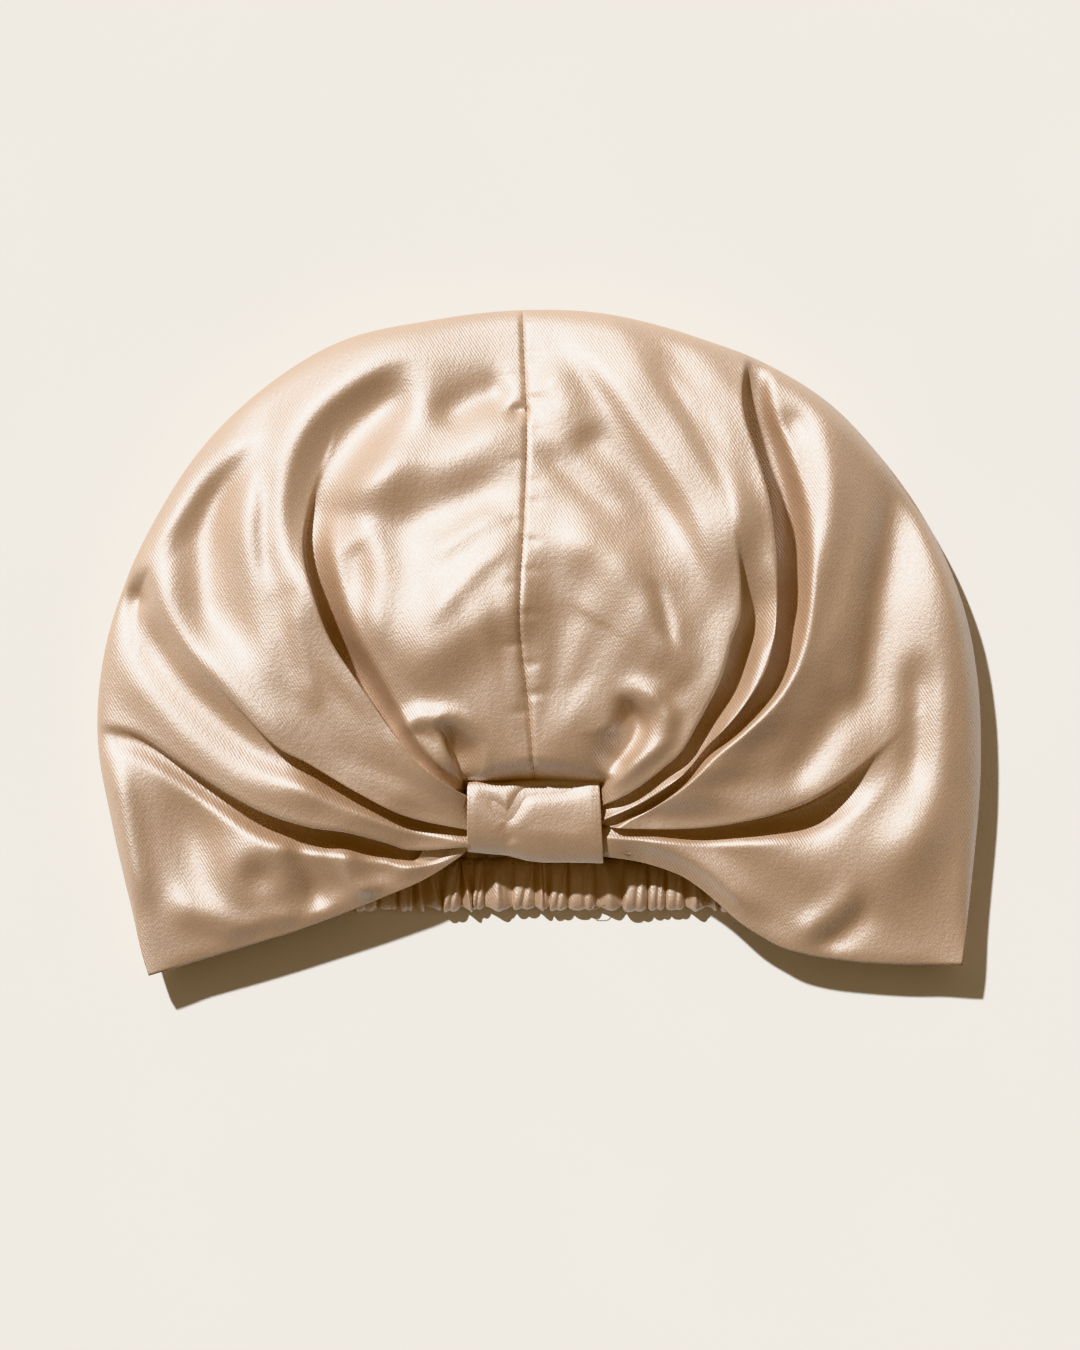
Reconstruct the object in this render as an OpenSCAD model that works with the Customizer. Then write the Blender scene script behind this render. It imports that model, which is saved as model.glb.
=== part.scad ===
// Satin turban cap, laid flat with its knot upwards.
// Two lined front panels are gathered through a knot loop, and two lined back
// panels end in a shirred elastic casing at the nape. Units are millimetres.

/* [Outline] */
// Distance from the knot's centre to the top of the crown
crown_reach = 191.3; // [170:0.1:210]
// Distance from the knot's centre to the left corner of the front edge
left_reach = 152.7; // [140:0.1:170]
// Distance from the knot's centre to the right corner of the front edge
right_reach = 166; // [150:0.1:180]
// How far the left corner lies below level, seen from the knot, in degrees
left_droop = 21.7; // [14:0.1:24]
// How far the right corner lies below level, seen from the knot, in degrees
right_droop = 18.7; // [14:0.1:24]

/* [Heights as laid] */
// Height of the side seam round the crown
seam_z = 9.2; // [7:0.1:12]
// Height of the side seam at the two corners
corner_z = 15; // [10:0.5:18]
// Height of the front's outer surface over the middle of the crown
dome_z = 41; // [36:0.5:42]
// Height of the front's outer surface over the wings
wing_z = 29; // [27:0.5:32]
// Height of the knot's centre
knot_z = 20.5; // [19:0.5:26]
// Width of the rounded rim beside the side seam
rim_w = 18; // [14:0.5:20]
// Height of the pleats that radiate from the knot
pleat_h = 2.6; // [0:0.1:3.5]

/* [Knot] */
// Length of the loop, across the wearer's forehead
loop_len = 51; // [40:0.5:60]
// Height of the loop up the forehead
loop_h = 32; // [26:0.5:36]
// Thickness of the loop from front to back
loop_t = 15; // [12:0.5:16]
// Thickness of the loop's folded satin wall
loop_wall = 1.5; // [1:0.1:2]
// Running gap between the loop and the gathers
loop_gap = 0.3; // [0.2:0.05:0.5]
// How far the loop can be pushed to either side
loop_travel = 4; // [2:0.5:5]

/* [Cloth] */
// Thickness of one modelled layer of satin
cloth_t = 0.8; // [0.6:0.1:1]
// Gap between the outer satin and the lining
layer_gap = 0.5; // [0.3:0.1:0.6]

/* [Nape] */
// Length of the shirred casing, relaxed
casing_len = 156; // [130:1:160]
// Width of the shirred casing
casing_w = 18; // [16:0.5:20]
// Thickness of the shirred casing
casing_t = 6; // [5:0.5:8]
// Number of ruffles along the casing
ruffles = 23; // [15:1:28]
// Width of the elastic
elastic_w = 12; // [8:0.5:13]
// Thickness of the elastic
elastic_t = 1.2; // [0.8:0.1:2]

/* [Label] */
// Width of the care label
label_w = 20; // [15:1:30]
// Length of the care label
label_len = 28; // [20:1:30]

/* [Hidden] */

// Colours
satin = [0.80, 0.66, 0.53];
lining_satin = [0.76, 0.62, 0.50];
thread_tan = [0.62, 0.47, 0.35];
elastic_white = [0.92, 0.90, 0.86];

// Angles run anticlockwise round the knot, with the centre seam at 90 degrees.
seam_a = 90;
left_a = 180 + left_droop;
right_a = -right_droop;
panel_steps = 28;
left_angles = [for (i = [0:panel_steps]) seam_a + (left_a - seam_a) * i / panel_steps];
right_angles = [for (i = [0:panel_steps]) right_a + (seam_a - right_a) * i / panel_steps];

// How far an angle is from the centre seam: 0 at the seam, 1 at the corner.
function sideness(a) = a >= seam_a ? (a - seam_a) / (left_a - seam_a) : (seam_a - a) / (seam_a - right_a);

// The crown is an arc about the knot, which draws in smoothly to each corner.
arc_end = 0.22;
left_draw_end = 1;
right_draw_end = 0.9;
function smooth(t) = let (c = max(0, min(1, t))) c * c * (3 - 2 * c);
function reach(a) =
    let (
        corner = a >= seam_a ? left_reach : right_reach,
        draw_end = a >= seam_a ? left_draw_end : right_draw_end
    )
    crown_reach - (crown_reach - corner) * smooth((sideness(a) - arc_end) / (draw_end - arc_end));
function on_ray(a, r) = [r * cos(a), r * sin(a)];
function outline(a) = on_ray(a, reach(a));
function side_seam_z(a) = seam_z + (corner_z - seam_z) * pow(sideness(a), 6);

// The origin is under the middle of the outline's box, so the knot is placed from that box.
outline_points = [for (a = concat(right_angles, left_angles)) outline(a)];
outline_x = [for (p = outline_points) p[0]];
outline_y = [for (p = outline_points) p[1]];
knot_x = -(min(outline_x) + max(outline_x)) / 2;
knot_y = -(min(outline_y) + max(outline_y)) / 2;

// The hole that the front panels leave for the knot is a rectangle round the loop and its travel.
hole_margin = 1.6;
hole_x = loop_len / 2 + loop_travel + hole_margin;
hole_y = loop_h / 2 + hole_margin;
function knot_edge(a) = on_ray(a, min(hole_x / max(abs(cos(a)), 0.01), hole_y / max(abs(sin(a)), 0.01)));

// Pleats fade out towards the centre seam and towards the rim.
pleat_from = 0.3;
pleat_waves = 3;
function pleat(a, f) =
    let (t = max(0, sideness(a) - pleat_from) / (1 - pleat_from))
    pleat_h * min(1, t * 4) * cos(360 * pleat_waves * t) * (1 - 0.6 * f);

// Height of the front's outer surface at an angle and a share of the way to the rim.
rise_share = 0.5;
function front_z(a, f) =
    let (peak = wing_z + (dome_z - wing_z) * (1 - pow(sideness(a), 2)))
    knot_z + (peak - knot_z) * sin(90 * min(1, f / rise_share)) + pleat(a, f);

// Stations along a ray: shares of the flat stretch, then the rounded rim down to the seam.
flat_shares = [0, 0.09, 0.2, 0.34, 0.48, 0.62, 0.76, 0.89];
rim_shares = [1, 0.68, 0.42, 0.22, 0.09, 0.02, 0];
function rim_round(e) = sqrt(1 - pow(1 - e, 2));

// A point of a layer that starts at xy point p0 and ends at the outline at angle a.
// depth is how far the layer lies inside the outer surface; z_flat is its height away from the rim.
function flat_point(a, p0, share, z_flat) =
    let (span = norm(outline(a) - p0), dir = (outline(a) - p0) / span)
    let (p = p0 + dir * share * (span - rim_w))
    [p[0], p[1], z_flat];
function rim_point(a, p0, e, depth, z_flat, z_end) =
    let (
        span = norm(outline(a) - p0),
        dir = (outline(a) - p0) / span,
        p = p0 + dir * (span - rim_w + (1 - e) * (rim_w - depth))
    )
    [p[0], p[1], z_end + (z_flat - z_end) * rim_round(e)];

// Front and back keep a small gap along the side seam, so that the mouth can open.
seam_gap = 0.15;
function front_ray(a, depth) = concat(
    [for (f = flat_shares) flat_point(a, knot_edge(a), f, front_z(a, f) - depth)],
    [for (e = rim_shares)
        rim_point(a, knot_edge(a), e, depth, front_z(a, 1) - depth, side_seam_z(a) + seam_gap)]
);

// The back panels end at the casing, and beside it at the nape edge, which runs out to each corner.
casing_y = -26;
casing_top = casing_y + casing_w / 2;
casing_low = casing_y - casing_w / 2;
nape_end = 24;
function nape_corner(a_corner, side) =
    let (corner = outline(a_corner), inward = [side * (casing_len / 2 + 12), casing_low] - corner)
    corner + nape_end * inward / norm(inward);
function nape_edge(a) =
    let (
        side = a >= seam_a ? -1 : 1,
        end = nape_corner(side < 0 ? left_a : right_a, side),
        x = sideness(a) * abs(end[0])
    )
    [side * x, lookup(x, [
        [0, casing_top + 0.2],
        [casing_len / 2 + 3, casing_top + 0.2],
        [casing_len / 2 + 12, casing_low],
        [abs(end[0]), end[1]]
    ])];
function back_ray(a, depth) = concat(
    [for (f = flat_shares) flat_point(a, nape_edge(a), f, depth)],
    [for (e = rim_shares)
        rim_point(a, nape_edge(a), e, depth, depth, side_seam_z(a) - seam_gap)]
);

// Puts the knot's frame, in which everything is drawn, into the part's frame.
module in_part_frame() {
    translate([knot_x, knot_y, 0]) children();
}

// A closed sheet between two grids of points, each a list of rays.
module sheet(upper, lower) {
    rays = len(upper);
    stations = len(upper[0]);
    function at(i, j, k) = (k * rays + i) * stations + j;
    points = [for (grid = [upper, lower]) for (ray = grid) for (p = ray) p];
    faces_up = [for (i = [0:rays - 2]) for (j = [0:stations - 2]) for (t = [0, 1])
        t == 0 ? [at(i, j, 0), at(i + 1, j, 0), at(i + 1, j + 1, 0)]
               : [at(i, j, 0), at(i + 1, j + 1, 0), at(i, j + 1, 0)]];
    faces_down = [for (i = [0:rays - 2]) for (j = [0:stations - 2]) for (t = [0, 1])
        t == 0 ? [at(i, j, 1), at(i + 1, j + 1, 1), at(i + 1, j, 1)]
               : [at(i, j, 1), at(i, j + 1, 1), at(i + 1, j + 1, 1)]];
    ends = [for (j = [0:stations - 2]) for (t = [0, 1]) for (side = [0, 1])
        let (i = side * (rays - 1))
        let (a = at(i, j, 0), b = at(i, j + 1, 0), c = at(i, j + 1, 1), d = at(i, j, 1))
        side == 0 ? (t == 0 ? [a, b, c] : [a, c, d]) : (t == 0 ? [a, c, b] : [a, d, c])];
    edges = [for (i = [0:rays - 2]) for (t = [0, 1]) for (side = [0, 1])
        let (j = side * (stations - 1))
        let (a = at(i, j, 0), b = at(i + 1, j, 0), c = at(i + 1, j, 1), d = at(i, j, 1))
        side == 0 ? (t == 0 ? [a, c, b] : [a, d, c]) : (t == 0 ? [a, b, c] : [a, c, d])];
    polyhedron(points, concat(faces_up, faces_down, ends, edges));
}

// Depths of the two faces of the outer satin and of the lining.
lining_depth = cloth_t + layer_gap;
module front_sheet(angles, depth) {
    in_part_frame() sheet(
        [for (a = angles) front_ray(a, depth)],
        [for (a = angles) front_ray(a, depth + cloth_t)]
    );
}
module back_sheet(angles, depth) {
    in_part_frame() sheet(
        [for (a = angles) back_ray(a, depth + cloth_t)],
        [for (a = angles) back_ray(a, depth)]
    );
}
module front_panel_left() { color(satin) front_sheet(left_angles, 0); }
module front_panel_right() { color(satin) front_sheet(right_angles, 0); }
module front_lining_left() { color(lining_satin) front_sheet(left_angles, lining_depth); }
module front_lining_right() { color(lining_satin) front_sheet(right_angles, lining_depth); }
module back_panel_left() { color(satin) back_sheet(left_angles, 0); }
module back_panel_right() { color(satin) back_sheet(right_angles, 0); }
module back_lining_left() { color(lining_satin) back_sheet(left_angles, lining_depth); }
module back_lining_right() { color(lining_satin) back_sheet(right_angles, lining_depth); }

// A flat oval, long in X, whose ends are half circles.
module oval(length, width) {
    for (side = [-1, 1]) translate([side * (length - width) / 2, 0]) circle(d = width, $fn = 48);
    square([length - width, width], center = true);
}

// An oval bar or tube lying along X, with its long side in Y.
module bar_along_x(length) {
    rotate([90, 0, 90]) linear_extrude(length, center = true) children();
}

// The gathers are the bunched middle of the front edge, inside the loop.
gathers_h = loop_h - 2 * (loop_wall + loop_gap);
gathers_t = loop_t - 2 * (loop_wall + loop_gap);
gathers_len = 2 * (hole_x - layer_gap);
tie_w = 1.6;
tie_depth = 0.9;
module front_gathers() {
    color(satin) in_part_frame() translate([0, 0, knot_z]) difference() {
        bar_along_x(gathers_len) oval(gathers_h, gathers_t);
        bar_along_x(tie_w + 0.2) difference() {
            oval(gathers_h + 2, gathers_t + 2);
            oval(gathers_h - 2 * tie_depth - 0.2, gathers_t - 2 * tie_depth - 0.2);
        }
    }
}
module gathering_thread() {
    color(thread_tan) in_part_frame() translate([0, 0, knot_z]) bar_along_x(tie_w) difference() {
        oval(gathers_h - 0.1, gathers_t - 0.1);
        oval(gathers_h - 2 * tie_depth, gathers_t - 2 * tie_depth);
    }
}
module knot_loop() {
    color(satin) in_part_frame() translate([0, 0, knot_z]) bar_along_x(loop_len) difference() {
        oval(loop_h, loop_t);
        oval(loop_h - 2 * loop_wall, loop_t - 2 * loop_wall);
    }
}

// One stitch of thread between two points.
thread_r = 0.2;
stitch_share = 0.6;
module stitch(p, q) {
    v = q - p;
    translate(p) rotate([0, acos(v[2] / norm(v)), atan2(v[1], v[0])])
        cylinder(h = norm(v), r = thread_r, $fn = 24);
}
// A row of stitches that follows a line of points, one stitch to each stretch.
module stitch_row(line) {
    for (i = [0:len(line) - 2]) stitch(line[i], line[i] + (line[i + 1] - line[i]) * stitch_share);
}

// Points at an even pitch along a line of points.
function lengths(line) = [for (i = 0, s = 0; i < len(line);
    s = s + (i + 1 < len(line) ? norm(line[i + 1] - line[i]) : 0), i = i + 1) s];
function along(line, s, at) = let (
    i = max([for (k = [0:len(line) - 2]) at[k] <= s ? k : 0]),
    share = (s - at[i]) / (at[i + 1] - at[i])
) line[i] + (line[i + 1] - line[i]) * share;
function even(line, pitch) = let (at = lengths(line), total = at[len(at) - 1])
    [for (s = [pitch / 2:pitch:total - pitch / 2]) along(line, s, at)];

// The centre seam is sewn through both panels, half way into their thickness.
seam_pitch = 3.6;
module centre_seam(depth) {
    color(thread_tan) in_part_frame() stitch_row(even(front_ray(seam_a, depth), seam_pitch));
}
module front_seam_stitches() { centre_seam(0.15); }
module lining_seam_stitches() { centre_seam(lining_depth + cloth_t / 2); }
module back_seam_stitches() {
    color(thread_tan) in_part_frame() stitch_row(even(back_ray(seam_a, cloth_t / 2), seam_pitch));
}

// The side seam holds front to back along the outline; its thread stays in the back panel.
side_pitch = 8;
side_drop = 0.5;
function side_line(angles) = [for (a = angles) let (p = on_ray(a, reach(a) - cloth_t / 2))
    [p[0], p[1], side_seam_z(a) - seam_gap - side_drop]];
module side_seam(angles) {
    color(thread_tan) in_part_frame() stitch_row(even(side_line(angles), side_pitch));
}
module side_seam_stitches_left() { side_seam(left_angles); }
module side_seam_stitches_right() { side_seam(right_angles); }

// The loop's strip is sewn into a ring along its underside.
module loop_seam_stitches() {
    underside = knot_z - loop_t / 2 + 0.15;
    ends = loop_len / 2 - 2;
    color(thread_tan) in_part_frame()
        stitch_row(even([[-ends, 0, underside], [ends, 0, underside]], seam_pitch));
}

// The casing is a tube drawn up into ruffles by the elastic inside it.
casing_wall = 0.9;
ruffle_proud = 0.6;
ruffle_share = 0.45;
module casing_profile(extra) {
    oval(casing_w - 2 * ruffle_proud + 2 * extra, casing_t - 2 * ruffle_proud + 2 * extra);
}
module elastic_casing() {
    pitch = casing_len / ruffles;
    color(satin) in_part_frame() translate([0, casing_y, casing_t / 2]) difference() {
        union() {
            bar_along_x(casing_len) casing_profile(0);
            for (i = [0:ruffles - 1]) translate([(i + 0.5) * pitch - casing_len / 2, 0, 0])
                bar_along_x(pitch * ruffle_share) casing_profile(ruffle_proud);
        }
        bar_along_x(casing_len + 2) casing_profile(-casing_wall);
    }
}
elastic_len = casing_len - 4;
module nape_elastic() {
    color(elastic_white) in_part_frame() translate([0, casing_y, casing_t / 2])
        cube([elastic_len, elastic_w, elastic_t], center = true);
}
// A row of stitches along the casing's upper edge closes the tube.
module casing_stitches() {
    ends = casing_len / 2 - 1;
    row_y = casing_top - 3.2;
    row_z = casing_t - ruffle_proud - 0.1;
    color(thread_tan) in_part_frame()
        stitch_row(even([[-ends, row_y, row_z], [ends, row_y, row_z]], seam_pitch));
}
// A bar of stitches across each end of the elastic anchors it in the casing.
module elastic_tacks() {
    tack_w = elastic_w - 2;
    tack_z = casing_t - ruffle_proud - 0.1;
    color(thread_tan) in_part_frame() for (side = [-1, 1]) for (step = [0:2])
        let (x = side * (elastic_len / 2 - 2 - step * 0.9))
        stitch([x, casing_y - tack_w / 2, tack_z], [x, casing_y + tack_w / 2, tack_z]);
}

// The care label hangs from the nape, inside the back lining.
label_t = 0.5;
label_z = lining_depth + cloth_t + 0.3;
label_hinge_y = casing_top + 1.4;
label_corner = 1.5;
module care_label() {
    color(elastic_white) in_part_frame() translate([0, label_hinge_y, label_z]) linear_extrude(label_t) {
        translate([-label_w / 2, 0]) square([label_w, label_len - label_corner]);
        translate([label_corner - label_w / 2, 0]) square([label_w - 2 * label_corner, label_len]);
        for (side = [-1, 1]) translate([side * (label_w / 2 - label_corner), label_len - label_corner])
            circle(label_corner, $fn = 32);
    }
}
module label_stitches() {
    color(thread_tan) in_part_frame() stitch_row(even([
        [-label_w / 2, label_hinge_y - 0.7, lining_depth + cloth_t],
        [label_w / 2, label_hinge_y - 0.7, lining_depth + cloth_t]
    ], 2.6));
}

front_panel_left();
front_panel_right();
front_lining_left();
front_lining_right();
front_gathers();
gathering_thread();
front_seam_stitches();
lining_seam_stitches();
knot_loop();
loop_seam_stitches();
back_panel_left();
back_panel_right();
back_lining_left();
back_lining_right();
back_seam_stitches();
side_seam_stitches_left();
side_seam_stitches_right();
elastic_casing();
nape_elastic();
casing_stitches();
elastic_tacks();
care_label();
label_stitches();
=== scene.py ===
"""A satin turban cap, laid flat with its knot upwards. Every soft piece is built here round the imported
CAD part: shapes are in millimetres, with x and y measured from the knot's centre (y towards the crown)
and z from the surface that the cap lies on."""

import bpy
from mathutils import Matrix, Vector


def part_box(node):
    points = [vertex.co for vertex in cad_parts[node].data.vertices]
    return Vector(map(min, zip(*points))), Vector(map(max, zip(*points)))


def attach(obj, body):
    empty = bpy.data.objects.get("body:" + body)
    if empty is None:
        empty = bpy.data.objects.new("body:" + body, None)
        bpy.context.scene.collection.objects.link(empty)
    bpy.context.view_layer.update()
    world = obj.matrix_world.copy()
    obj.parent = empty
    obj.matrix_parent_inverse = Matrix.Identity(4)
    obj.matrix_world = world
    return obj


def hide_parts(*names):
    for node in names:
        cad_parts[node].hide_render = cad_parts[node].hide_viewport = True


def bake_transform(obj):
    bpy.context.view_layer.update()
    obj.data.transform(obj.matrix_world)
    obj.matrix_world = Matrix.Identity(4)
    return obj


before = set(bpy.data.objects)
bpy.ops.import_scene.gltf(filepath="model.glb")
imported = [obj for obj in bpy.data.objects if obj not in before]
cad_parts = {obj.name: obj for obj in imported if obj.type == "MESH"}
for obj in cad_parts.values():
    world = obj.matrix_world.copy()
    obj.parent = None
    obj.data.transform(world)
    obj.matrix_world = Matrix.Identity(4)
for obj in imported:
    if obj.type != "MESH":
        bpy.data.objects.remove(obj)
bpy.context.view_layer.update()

from math import cos, pi, radians, sin, sqrt

import bpy
import numpy as np
from mathutils import Vector

MM = 0.001
loop_low, loop_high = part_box("knot_loop")
KNOT = (loop_low + loop_high) / 2
KNOT_Z = KNOT.z / MM
LOOP_LEN, LOOP_H, LOOP_T = ((loop_high - loop_low) / MM)[:]


def node_box(name):
    """A CAD node's lowest and highest corners, in millimetres from the knot's centre."""
    return [(np.array(corner) - (KNOT.x, KNOT.y, 0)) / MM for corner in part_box(name)]


CASING_X, CASING_Y, (_, CASING_TOP) = zip(*node_box("elastic_casing"))

# -------- camera, light and floor

VIEW_WIDTH = 0.4018       # width of the picture at the height of the cap, metres
PICTURE_SHAPE = 5 / 4     # its height over its width
VIEW_CENTRE = (-0.0006, -0.0132)
CAMERA_HEIGHT = 2.0
CAP_HEIGHT = 0.02         # the height at which the width is meant
SENSOR = 36
SUN_AZIMUTH, SUN_ELEVATION, SUN_SIZE = (radians(v) for v in (124, 43, 2.6))
SUN_ENERGY, SUN_COLOUR = 4.25, (0.96, 0.99, 1.0)
SKY_COLOUR, SKY_STRENGTH = (1.0, 0.74, 0.48, 1), 0.235


def make_camera():
    data = bpy.data.cameras.new("camera")
    camera = bpy.data.objects.new("camera", data)
    bpy.context.scene.collection.objects.link(camera)
    camera.location = (VIEW_CENTRE[0], VIEW_CENTRE[1], CAMERA_HEIGHT)
    data.sensor_width = SENSOR
    data.lens = SENSOR * (CAMERA_HEIGHT - CAP_HEIGHT) / (VIEW_WIDTH * PICTURE_SHAPE)
    bpy.context.scene.camera = camera


def make_light():
    sun = bpy.data.lights.new("sun", "SUN")
    sun.energy = SUN_ENERGY
    sun.angle = SUN_SIZE
    sun.color = SUN_COLOUR
    lamp = bpy.data.objects.new("sun", sun)
    bpy.context.scene.collection.objects.link(lamp)
    level = cos(SUN_ELEVATION)
    towards = Vector((cos(SUN_AZIMUTH) * level, sin(SUN_AZIMUTH) * level, sin(SUN_ELEVATION)))
    lamp.rotation_euler = towards.to_track_quat("Z", "Y").to_euler()
    world = bpy.data.worlds.new("studio")
    world.use_nodes = True
    background = world.node_tree.nodes["Background"]
    background.inputs["Color"].default_value = SKY_COLOUR
    background.inputs["Strength"].default_value = SKY_STRENGTH
    bpy.context.scene.world = world
    bpy.context.scene.view_settings.view_transform = "Khronos PBR Neutral"


# -------- materials


class Nodes:
    """A short way to write a node material."""

    def __init__(self, name):
        self.material = bpy.data.materials.new(name)
        self.material.use_nodes = True
        self.tree = self.material.node_tree
        self.shader = self.tree.nodes["Principled BSDF"]

    def add(self, kind, **settings):
        node = self.tree.nodes.new(kind)
        for key, value in settings.items():
            if hasattr(node, key):
                setattr(node, key, value)
            else:
                node.inputs[key.replace("_", " ")].default_value = value
        return node

    def link(self, source, target):
        self.tree.links.new(source, target)

    def coordinates(self, stretch=(1, 1, 1), turn=(0, 0, 0)):
        place = self.add("ShaderNodeTexCoord")
        mapping = self.add("ShaderNodeMapping", Scale=stretch, Rotation=turn)
        self.link(place.outputs["Object"], mapping.inputs["Vector"])
        return mapping.outputs["Vector"]

    def noise(self, scale, detail=2.0, stretch=(1, 1, 1), turn=(0, 0, 0), roughness=0.5):
        node = self.add("ShaderNodeTexNoise", Scale=scale, Detail=detail, Roughness=roughness)
        self.link(self.coordinates(stretch, turn), node.inputs["Vector"])
        return node.outputs["Fac"]

    def waves(self, scale, turn, distortion=0.4):
        node = self.add("ShaderNodeTexWave", wave_profile="SIN", Scale=scale, Distortion=distortion,
                        Detail_Scale=2.0)
        self.link(self.coordinates(turn=turn), node.inputs["Vector"])
        return node.outputs["Fac"]

    def ramp(self, factor, low, high, from_value=0.3, to_value=0.7):
        node = self.add("ShaderNodeValToRGB")
        for stop, position, colour in zip(node.color_ramp.elements, (from_value, to_value), (low, high)):
            stop.position = position
            stop.color = colour
        self.link(factor, node.inputs["Fac"])
        return node.outputs["Color"]

    def bumps(self, layers):
        """Each layer is (height, strength, distance in metres)."""
        normal = None
        for height, strength, distance in layers:
            node = self.add("ShaderNodeBump", Strength=strength, Distance=distance)
            self.link(height, node.inputs["Height"])
            if normal is not None:
                self.link(normal, node.inputs["Normal"])
            normal = node.outputs["Normal"]
        self.link(normal, self.shader.inputs["Normal"])

    def set(self, **values):
        for key, value in values.items():
            self.shader.inputs[key.replace("_", " ")].default_value = value


TWILL_SCALE = 320                     # gives lines 1 mm apart
TWILL_TURN = radians(-32)
MIX_A, MIX_B, MIX_RESULT = 6, 7, 2    # a Mix node's colour sockets


def satin(name, light, dark, roughness=(0.48, 0.62), specular=1.0):
    """Satin: close tans in soft patches, a diagonal twill, and a grain that sparkles in the highlights."""
    m = Nodes(name)
    twill = m.waves(TWILL_SCALE, (0, 0, TWILL_TURN), distortion=0.8)
    patches = m.ramp(m.noise(38, detail=3), dark, light)
    lines = m.ramp(twill, (0.86, 0.86, 0.86, 1), (1, 1, 1, 1), 0.1, 0.6)
    weave = m.add("ShaderNodeMix", data_type="RGBA", blend_type="MULTIPLY", Factor=1.0)
    m.link(patches, weave.inputs[MIX_A])
    m.link(lines, weave.inputs[MIX_B])
    m.link(weave.outputs[MIX_RESULT], m.shader.inputs["Base Color"])
    rough = m.add("ShaderNodeMapRange", To_Min=roughness[0], To_Max=roughness[1])
    m.link(m.noise(900, detail=2), rough.inputs["Value"])
    m.link(rough.outputs["Result"], m.shader.inputs["Roughness"])
    m.set(Specular_IOR_Level=specular, IOR=2.6, Specular_Tint=(0.96, 0.99, 1.0, 1), Coat_Weight=0.1,
          Coat_Roughness=0.34, Coat_IOR=1.6)
    grain = m.noise(800, detail=2, roughness=0.7)
    slub = m.noise(420, detail=2, stretch=(1, 0.3, 1), turn=(0, 0, TWILL_TURN))
    m.bumps([(twill, 0.5, 0.00012), (slub, 0.6, 0.00016), (grain, 0.8, 0.00022)])
    return m.material


def matt_cloth(name, light, dark, scale=1400):
    """Matt thread or ribbon: a close weave with slight changes of colour."""
    m = Nodes(name)
    m.link(m.ramp(m.noise(500, detail=2), dark, light), m.shader.inputs["Base Color"])
    m.set(Roughness=0.8, Sheen_Weight=0.3, Specular_IOR_Level=0.3)
    twist = m.waves(scale, (0, 0, radians(55)), distortion=0.6)
    m.bumps([(twist, 0.5, 0.00008), (m.noise(2200), 0.3, 0.00006)])
    return m.material


def ribbed(name, light, dark):
    """Woven elastic with ribs along its length."""
    m = Nodes(name)
    ribs = m.waves(260, (0, 0, radians(90)), distortion=0.1)
    m.link(m.ramp(ribs, dark, light, 0.2, 0.8), m.shader.inputs["Base Color"])
    m.set(Roughness=0.75, Sheen_Weight=0.25)
    m.bumps([(ribs, 0.6, 0.0002), (m.waves(700, (0, 0, 0)), 0.4, 0.0001)])
    return m.material


def paper():
    m = Nodes("floor_paper")
    m.link(m.ramp(m.noise(9, detail=4), (0.90, 0.885, 0.855, 1), (0.925, 0.91, 0.88, 1)),
           m.shader.inputs["Base Color"])
    m.set(Roughness=0.92, Specular_IOR_Level=0.15)
    m.bumps([(m.noise(700, detail=3), 0.08, 0.0001)])
    return m.material


OUTER = satin("champagne_satin", (0.545, 0.318, 0.168, 1), (0.480, 0.276, 0.142, 1))
LINING = satin("lining_satin", (0.35, 0.195, 0.10, 1), (0.31, 0.17, 0.085, 1), (0.52, 0.64), 0.8)
THREAD = matt_cloth("tan_thread", (0.36, 0.22, 0.14, 1), (0.26, 0.155, 0.095, 1))
ELASTIC = ribbed("white_elastic", (0.86, 0.83, 0.78, 1), (0.66, 0.63, 0.58, 1))
RIBBON = matt_cloth("label_ribbon", (0.88, 0.85, 0.79, 1), (0.78, 0.75, 0.69, 1), scale=900)

# -------- curves and small tools


def smooth(t):
    t = np.clip(t, 0, 1)
    return t * t * (3 - 2 * t)


def spline(points, count=60):
    """A smooth curve through the points, as count points."""
    p = np.array(points, float)
    p = np.vstack([2 * p[0] - p[1], p, 2 * p[-1] - p[-2]])
    t = np.linspace(0, len(points) - 1, count)
    i = np.minimum(t.astype(int), len(points) - 2)
    f = (t - i)[:, None]
    a, b, c, d = p[i], p[i + 1], p[i + 2], p[i + 3]
    return 0.5 * (2 * b + (c - a) * f + (2 * a - 5 * b + 4 * c - d) * f**2 + (3 * b - a - 3 * c + d) * f**3)


def even_values(values, share):
    """A smooth value along a line, from values at even shares of its length."""
    curve = spline([(i, v) for i, v in enumerate(values)], 200)
    return np.interp(share * (len(values) - 1), curve[:, 0], curve[:, 1])


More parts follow.
